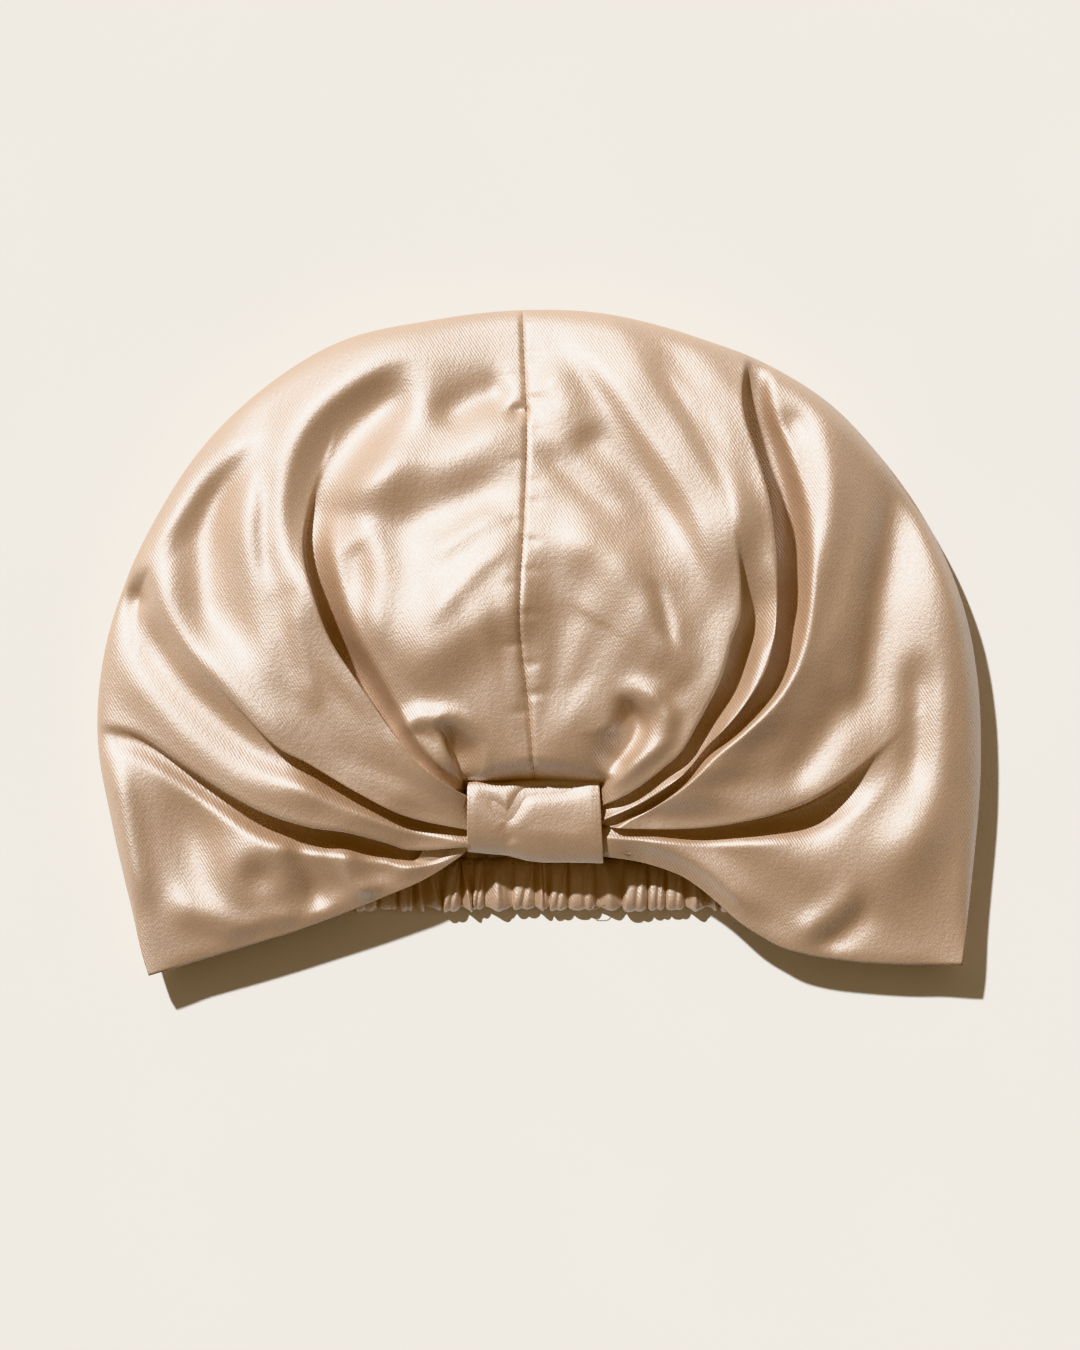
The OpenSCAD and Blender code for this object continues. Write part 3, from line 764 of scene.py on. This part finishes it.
def tube(path, radius, sides=8):
    """A closed tube along a path, with blunt round ends: points and faces."""
    path = np.asarray(path, float)
    step = np.gradient(path, axis=0)
    step /= np.linalg.norm(step, axis=1, keepdims=True)
    up = np.array([0, 0, 1.0]) if abs(step[0, 2]) < 0.8 else np.array([1.0, 0, 0])
    across = np.cross(step, up)
    across /= np.linalg.norm(across, axis=1, keepdims=True)
    lift = np.cross(across, step)
    widths = np.full(len(path), radius)
    widths[0] = widths[-1] = radius * 0.6
    turn = np.linspace(0, 2 * pi, sides, endpoint=False)[None, :, None]
    around = across[:, None] * np.cos(turn) + lift[:, None] * np.sin(turn)
    rings = path[:, None] + widths[:, None, None] * around
    tips = [path[:1] - step[:1] * radius * 0.5, path[-1:] + step[-1:] * radius * 0.5]
    points = np.concatenate([rings.reshape(-1, 3), *tips])
    return points, tube_faces(len(path), sides)


def join(parts):
    """Several sets of points and faces as one."""
    points, faces, count = [], [], 0
    for part_points, part_faces in parts:
        points.append(part_points)
        faces += [tuple(k + count for k in face) for face in part_faces]
        count += len(part_points)
    return np.concatenate(points), faces


def along(line, pitch):
    """Points at an even pitch along a line of points in space."""
    line = np.asarray(line, float)
    at = np.concatenate([[0], np.cumsum(np.linalg.norm(np.diff(line, axis=0), axis=1))])
    wanted = np.arange(pitch / 2, at[-1] - pitch / 4, pitch)
    return np.stack([np.interp(wanted, at, line[:, k]) for k in range(3)], 1)


THREAD_R = 0.2
STITCH_SHARE = 0.62   # how much of the pitch a stitch shows above the cloth


def stitches(line, pitch, rise=0.12):
    """A row of small arched stitches that follows a line of points."""
    parts = []
    spots = along(line, pitch)
    for p, q in zip(spots[:-1], spots[1:]):
        path = p + (q - p) * np.linspace(0, STITCH_SHARE, 6)[:, None]
        path[:, 2] += rise * np.sin(np.linspace(0, pi, 6))
        parts.append(tube(path, THREAD_R, 6))
    return join(parts)


def make_stitches(name, line, pitch, body, node, rise=0.12):
    points, faces = stitches(line, pitch, rise)
    return make_piece(name, points, faces, THREAD, body, "thread", [node])


# -------- the knot

# The loop's edges in plan.
LOOP_TOP = [(-25.2, 13.2), (-21, 13.8), (-16, 13.5), (-11, 13.5), (-5.5, 14.7), (1, 15), (7, 15.7),
            (14, 15.8), (21, 16.2), (25.2, 16.2)]
LOOP_BOTTOM = [(-25.2, -11.6), (-20, -12.1), (-10, -13), (-3, -14.9), (3, -15.6), (12, -15.6),
               (25.2, -15.9)]
LOOP_SQUARE = 2.1     # the power of the loop's section, where 2 is an oval
LOOP_WALL = 1.1
LOOP_SKEW = 5.5       # how far its crest lies above the middle, towards the crown
LOOP_CROWN = 1.12     # how much higher the loop bulges on its upper side
# Its folds, as in RIDGES: the valley above its bright band, a crease below the valley's dip, a low swell.
LOOP_FOLDS = [
    (-1.7, 2.8, 3.2, [(-25, 11), (-21, 11), (-17, 8.5), (-13, 4.5), (-10, 2), (-7.5, 4.5), (-4.5, 9.5),
                      (0, 11.5), (8, 12), (16, 12.5), (25, 13)]),
    (-0.7, 2, 3, [(-12, 0), (-10, -3), (-8.5, -6), (-7.5, -9)]),
    (0.4, 3, 4, [(-6, -6), (3, -4), (14, -5.5), (23, -5)]),
]


def loop_section(x, inset, turn, flare):
    """The loop's closed section at each x: rows by columns of points."""
    top = np.interp(x, *np.array(LOOP_TOP).T) - inset
    bottom = np.interp(x, *np.array(LOOP_BOTTOM).T) + inset
    half_y, middle = (top - bottom) / 2, (top + bottom) / 2
    half_z = LOOP_T / 2 - inset - 0.3 + flare
    c, s = np.cos(turn), np.sin(turn)
    y = middle[:, None] + half_y[:, None] * np.sign(c) * np.abs(c) ** (2 / LOOP_SQUARE)
    y = y + LOOP_SKEW * np.maximum(s, 0)
    crown = np.where(s > 0, LOOP_CROWN, 1.0)
    z = KNOT_Z + half_z[:, None] * crown * np.sign(s) * np.abs(s) ** (2 / LOOP_SQUARE)
    slant = 0.9 * (y / 16) * smooth((x[:, None] + 5) / 30)
    return np.stack([x[:, None] - slant, y, z], 2)


def make_loop():
    """The loop is a strip sewn into a ring, with its long edges rolled over."""
    half = LOOP_LEN / 2 - 1.2
    turn = np.linspace(0, 2 * pi, 128, endpoint=False)
    x = np.linspace(-half, half, 110)
    outer = loop_section(x, 0.0, turn, -0.3 * np.exp(-(((half - np.abs(x)) / 1.6) ** 2)))
    xy = outer[..., :2].reshape(-1, 2)
    lift = 0.08 * ripple(xy, 11, 14, 30)
    for settings in LOOP_FOLDS:
        ridge(xy, lift, *settings)
    lift *= smooth((outer[..., 2] - KNOT_Z) / 4).reshape(-1)
    outer[..., 2] += lift.reshape(outer.shape[:2])
    inner = loop_section(x[::-1], LOOP_WALL, turn, np.zeros(len(x)))
    # the two ends are rolled over from the outside to the inside
    rolls = []
    for side, a, b in ((1, outer[-1], inner[0]), (-1, inner[-1], outer[0])):
        for bend in np.linspace(0, pi, 7)[1:-1]:
            point = (a + b) / 2 + (a - b) / 2 * cos(bend)
            point[:, 0] += side * 0.65 * sin(bend)
            rolls.append(point)
    grid = np.concatenate([outer, rolls[:5], inner, rolls[5:]], 0)
    faces = grid_faces(grid.shape[0], grid.shape[1], closed_rows=True, closed_columns=True)
    piece = make_piece("loop_satin", grid, faces, OUTER, "loop", "outer_satin", ["knot_loop"])
    seam_x = np.linspace(-half + 2, half - 2, 40)
    line = np.stack([seam_x, np.full(40, 0.3), np.full(40, KNOT_Z - LOOP_T / 2 + 0.25)], 1)
    make_stitches("loop_seam_thread", line, SEAM_PITCH, "loop", "loop_seam_stitches", rise=-0.12)


GATHERS_HALF = (23.5, 10.6, 5.3)      # half length, half height and half thickness of the drawn-up pleats
BINDING_TURNS = 4


def make_gathers():
    """The front's middle, drawn up into pleats inside the loop and bound with thread."""
    length, half_y, half_z = GATHERS_HALF
    x = np.linspace(-length, length, 90)[:, None]
    turn = np.linspace(0, 2 * pi, 144, endpoint=False)[None]
    waist = 1 - 0.1 * np.exp(-((x / 1.7) ** 2))
    pleats = 1 - 0.085 * np.abs(np.sin(7 * turn + 0.4 * np.sin(3 * turn))) ** 0.7
    y = 0.6 + half_y * waist * pleats * np.cos(turn + 0.12 * np.sin(x / 6))
    z = KNOT_Z + half_z * waist * pleats * np.sin(turn)
    grid = np.stack([np.repeat(x, turn.shape[1], 1), y, z], 2)
    points = np.concatenate([grid.reshape(-1, 3), [grid[0].mean(0), grid[-1].mean(0)]])
    make_piece("knot_gathers", points, tube_faces(*grid.shape[:2]), OUTER, "front", "outer_satin",
               ["front_gathers"])
    turns = np.linspace(0, 2 * pi * BINDING_TURNS, 60 * BINDING_TURNS)
    path = np.stack([np.linspace(-1.1, 1.1, len(turns)), 0.6 + (half_y * 0.9 + 0.15) * np.cos(turns),
                     KNOT_Z + (half_z * 0.9 + 0.15) * np.sin(turns)], 1)
    make_piece("gathers_binding", *tube(path, 0.28), THREAD, "front", "thread", ["gathering_thread"])


# -------- the back

CASING_HALF = (CASING_X[1] - CASING_X[0]) / 2
CASING_TUCK = 2.5     # how far the back and the casing overlap
NAPE_END = 24         # how far from a corner the nape edge ends
NAPE_BEND = 12        # how far beyond the casing's ends the nape edge bends
BACK_RIM = 15         # width over which the back rises to the side seam
BACK_ROWS, BACK_COLUMNS = 110, 150
HALVES = {"left": (LEFT_A, SEAM_A), "right": (SEAM_A, RIGHT_A)}


def nape_edge(a):
    """The back's lower edge: along the casing's upper edge, and beyond its ends out to the corners."""
    edge = np.zeros(a.shape + (2,))
    for side, corner_a, mine in ((-1, LEFT_A, a >= SEAM_A), (1, RIGHT_A, a <= SEAM_A)):
        corner = on_ray(corner_a, reach(corner_a))
        inward = np.array([side * (CASING_HALF + NAPE_BEND), CASING_Y[0]]) - corner
        end = corner + NAPE_END * inward / np.linalg.norm(inward)
        x = sideness(a) * abs(end[0])
        upper = CASING_Y[1] - CASING_TUCK
        y = np.interp(x, [0, CASING_HALF + 3, CASING_HALF + NAPE_BEND, abs(end[0])],
                      [upper, upper, CASING_Y[0], end[1]])
        edge[mine] = np.stack([side * x, y], -1)[mine]
    return edge


def back_surface(angles, rows, depth):
    """The back's cloth, at a depth above the layer that lies on the table: rows by columns of points."""
    start, rim_line = nape_edge(angles), on_ray(angles, reach(angles) - depth)
    span = np.linalg.norm(rim_line - start, axis=1)
    t = np.linspace(0, 1, rows)[:, None] ** 0.9
    xy = start[None] + (rim_line - start)[None] * t[..., None]
    edge, out = (1 - t) * span[None], t * span[None]
    flat = xy.reshape(-1, 2)
    pleats = np.abs(np.sin(start[None, :, 0] * pi / 6.6 + 0.9 * np.sin(start[None, :, 0] / 9)))
    fall = np.exp(-out / 24) * smooth((CASING_HALF + 14 - np.abs(start[None, :, 0])) / 14)
    waves = np.clip(0.56 + 0.35 * ripple(flat, 21, 26, 80).reshape(edge.shape), 0, 2) * smooth(out / 30)
    z = 0.25 + depth + 1.9 * pleats * fall + waves
    curve = 1 - np.sqrt(1 - np.clip(1 - edge / BACK_RIM, 0, 1) ** 2)
    rim_z = seam_height(angles) - 0.35 - 1.4 * sideness(angles) ** 8
    z = z + (rim_z[None] - z) * curve
    return np.concatenate([xy, z[..., None]], 2)


def make_back(side):
    """One half of the back, satin and lining. Gives the satin's surface."""
    a = np.linspace(*HALVES[side], BACK_COLUMNS)
    outer = back_surface(a, BACK_ROWS, 0.0)
    inward = unit_xy(outer[-4] - outer[-1])
    rim = turned_edge(outer[-1], inward, [(0.5, 0.5), (1.6, 0.6), (3.2, 0.3)])
    piece = sheet_piece(f"back_satin_{side}", np.concatenate([outer, rim], 0), OUTER, "back", "outer_satin",
                        [f"back_panel_{side}"])
    inner = back_surface(a, BACK_ROWS, 1.5)
    inner[..., 2] = np.minimum(inner[..., 2], seam_height(a)[None] - 1.2)
    lining = sheet_piece(f"back_lining_satin_{side}", inner, LINING, "back", "lining_satin",
                         [f"back_lining_{side}"], flip=True)
    return outer


# -------- the nape casing


CREASE_STEPS = (4.0, 10.5)    # the least and the most from one crease to the next
ROLL_SIZES = (0.6, 1.0)
ROLL_LEAN = 2.4               # how far a roll leans sideways, at most
ROLL_POWER = 0.62             # of a roll's section: the lower, the sharper its creases
SCALLOP = 2.6                 # how far each crease draws the lower edge in
CASING_WALL = 0.35
CASING_COLUMNS = 900
CASING_SEED = 5


def casing_creases(rng):
    """Where the creases lie along the casing, at uneven steps."""
    left, right = CASING_X[0] + 1, CASING_X[1] - 1
    creases = [left]
    while creases[-1] < right - 3:
        creases.append(creases[-1] + rng.uniform(*CREASE_STEPS))
    creases = np.array(creases)
    return left + (creases - left) * (right - left) / (creases[-1] - left)


def casing_rolls(x):
    """At each place along the casing, how full the roll there is and how far it leans sideways."""
    rng = np.random.default_rng(CASING_SEED)
    creases = casing_creases(rng)
    size = rng.uniform(*ROLL_SIZES, len(creases))
    lean = rng.uniform(-ROLL_LEAN, ROLL_LEAN, len(creases))
    side_roll = rng.uniform(0.0, 0.5, len(creases))
    k = np.clip(np.searchsorted(creases, x) - 1, 0, len(creases) - 2)
    f = np.clip((x - creases[k]) / (creases[k + 1] - creases[k]), 0, 1)
    skew = np.clip(f + 0.13 * np.sin(2 * pi * f) * np.sign(lean[k]), 0, 1)
    roll = (4 * skew * (1 - skew)) ** ROLL_POWER * size[k]
    roll = np.clip(roll - side_roll[k] * 0.5 * np.exp(-(((f - 0.62) / 0.1) ** 2)), 0, 1)
    return roll[:, None], (lean[k] * np.sin(pi * f))[:, None]


def make_casing():
    """Satin drawn up on the elastic into uneven rolls with sharp creases between them."""
    x = np.linspace(*CASING_X, CASING_COLUMNS)
    roll, lean = casing_rolls(x)
    turn = np.linspace(0, 2 * pi, 96, endpoint=False)[None]
    c, s = np.cos(turn), np.sin(turn)
    upper = CASING_Y[1] + CASING_TUCK
    middle_y, half_y = (CASING_Y[0] + upper) / 2, (upper - CASING_Y[0]) / 2
    out_y = np.where(c < 0, half_y - SCALLOP + SCALLOP * roll, half_y)
    y = middle_y + out_y * np.sign(c) * np.abs(c) ** 0.8
    # each roll is fullest near the lower edge
    full = 1.1 + (3.4 + 1.0 * smooth(0.5 - 0.8 * c)) * roll
    z = CASING_TOP / 2 + full * np.sign(s) * np.abs(s) ** 0.8
    grid = np.stack([x[:, None] + lean * (y - middle_y) / half_y, y, np.maximum(z, 0.15)], 2)
    away = (grid - (0, middle_y, CASING_TOP / 2)) * (0, 1, 1)
    inner = grid - CASING_WALL * away / np.maximum(np.linalg.norm(away, axis=2, keepdims=True), 0.6)
    both = np.concatenate([grid, inner[::-1]], 0)
    faces = grid_faces(both.shape[0], both.shape[1], closed_rows=True, closed_columns=True)
    piece = make_piece("nape_casing", both, faces, OUTER, "back", "outer_satin", ["elastic_casing"])
    top = grid[:, 11] - (0, 0, 0.3)
    parts = [stitches(top[10:-10], 3.2), tube(tail_path(), 0.16)]
    make_piece("casing_thread", *join(parts), THREAD, "back", "thread", ["casing_stitches"])
    bars = [stitches(grid[i, 8:32] + (0, 0, 0.15), 2.2) for i in (14, 18, 22, -23, -19, -15)]
    make_piece("tack_thread", *join(bars), THREAD, "back", "thread", ["elastic_tacks"])


def tail_path():
    """The loose end of the casing's thread."""
    plan = spline([(27.5, -31.5), (25.5, -32.2), (23.5, -33.4), (20.5, -33.9)], 24)
    height = np.interp(np.linspace(0, 1, 24), [0, 0.5, 1], [5.0, 5.6, 4.6])
    return np.concatenate([plan, height[:, None]], 1)


def make_elastic():
    """Woven elastic with cords along its length."""
    low, high = node_box("nape_elastic")
    ribs = 8
    u = np.linspace(0, 1, ribs * 8 + 1)
    x = np.linspace(low[0], high[0], 260)
    half = (high[2] - low[2]) / 2 * (0.72 + 0.28 * np.abs(np.sin(ribs * pi * u)) ** 0.6)
    half[0] = half[-1] = 0.2
    middle = (low[2] + high[2]) / 2
    y = low[1] + (high[1] - low[1]) * u
    ring_y = np.concatenate([y, y[::-1]])
    ring_z = np.concatenate([middle + half, middle - half[::-1]])
    grid = np.stack([np.repeat(x[:, None], len(ring_y), 1), np.repeat(ring_y[None], len(x), 0),
                     np.repeat(ring_z[None], len(x), 0)], 2)
    piece = make_piece("nape_elastic_band", grid, band_faces(*grid.shape[:2]), ELASTIC, "back", "elastic",
                       ["nape_elastic"])


def make_label():
    """A blank folded ribbon whose free end lifts."""
    low, high = node_box("care_label")
    u, v = np.linspace(0, 1, 24)[None], np.linspace(0, 1, 40)[:, None]
    x = low[0] + (high[0] - low[0]) * u + 0 * v
    y = low[1] + (high[1] - low[1]) * v + 0 * u
    z = low[2] + 0.35 + 1.3 * v**2 + 0.22 * np.sin(5 * v) + 0.25 * np.sin(np.pi * u) * v
    top = np.stack([x, y, z], 2)
    grid = np.concatenate([top, top[::-1] - (0, 0, 0.35)], 0).transpose(1, 0, 2)[::-1]
    piece = make_piece("care_ribbon", grid, band_faces(*grid.shape[:2]), RIBBON, "label", "label",
                       ["care_label"])
    stitch_low, stitch_high = node_box("label_stitches")
    row_y, row_z = stitch_low[1], high[2] + 0.3
    line = np.array([[stitch_low[0], row_y, row_z], [stitch_high[0] + 3, row_y, row_z]])
    make_stitches("label_thread", line, 2.4, "back", "label_stitches")


make_camera()
make_light()
floor = make_piece("floor", [(-4000, -4000, 0), (4000, -4000, 0), (4000, 4000, 0), (-4000, 4000, 0)],
                   [(0, 1, 2, 3)], paper(), None, "outer_satin")
for side, sign in (("left", -1), ("right", 1)):
    outer, surface = make_front(side)
    lining, lining_points = make_front_lining(side, surface)
    for cloth, area in ((outer, 0.045), (lining, 0.033)):
        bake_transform(cloth)
    if side == "left":
        make_stitches("front_seam_thread", surface[6:, -1], SEAM_PITCH, "front", "front_seam_stitches",
                      rise=-0.15)
        make_stitches("lining_seam_thread", lining_points[3:, -1] - (0, 0, 0.2), SEAM_PITCH,
                      "front", "lining_seam_stitches", rise=-0.1)
make_loop()
make_gathers()
back_left = make_back("left")
make_back("right")
make_stitches("back_seam_thread", back_left[4:-4, -1], SEAM_PITCH, "back", "back_seam_stitches", rise=-0.05)
for side, ends in HALVES.items():
    angles = np.linspace(*ends, 160)
    line = np.concatenate([on_ray(angles, reach(angles) - 0.8), (seam_height(angles) - 0.7)[:, None]], 1)
    make_stitches(f"side_seam_thread_{side}", line, 4.2, "back", f"side_seam_stitches_{side}")
make_elastic()
make_casing()
make_label()
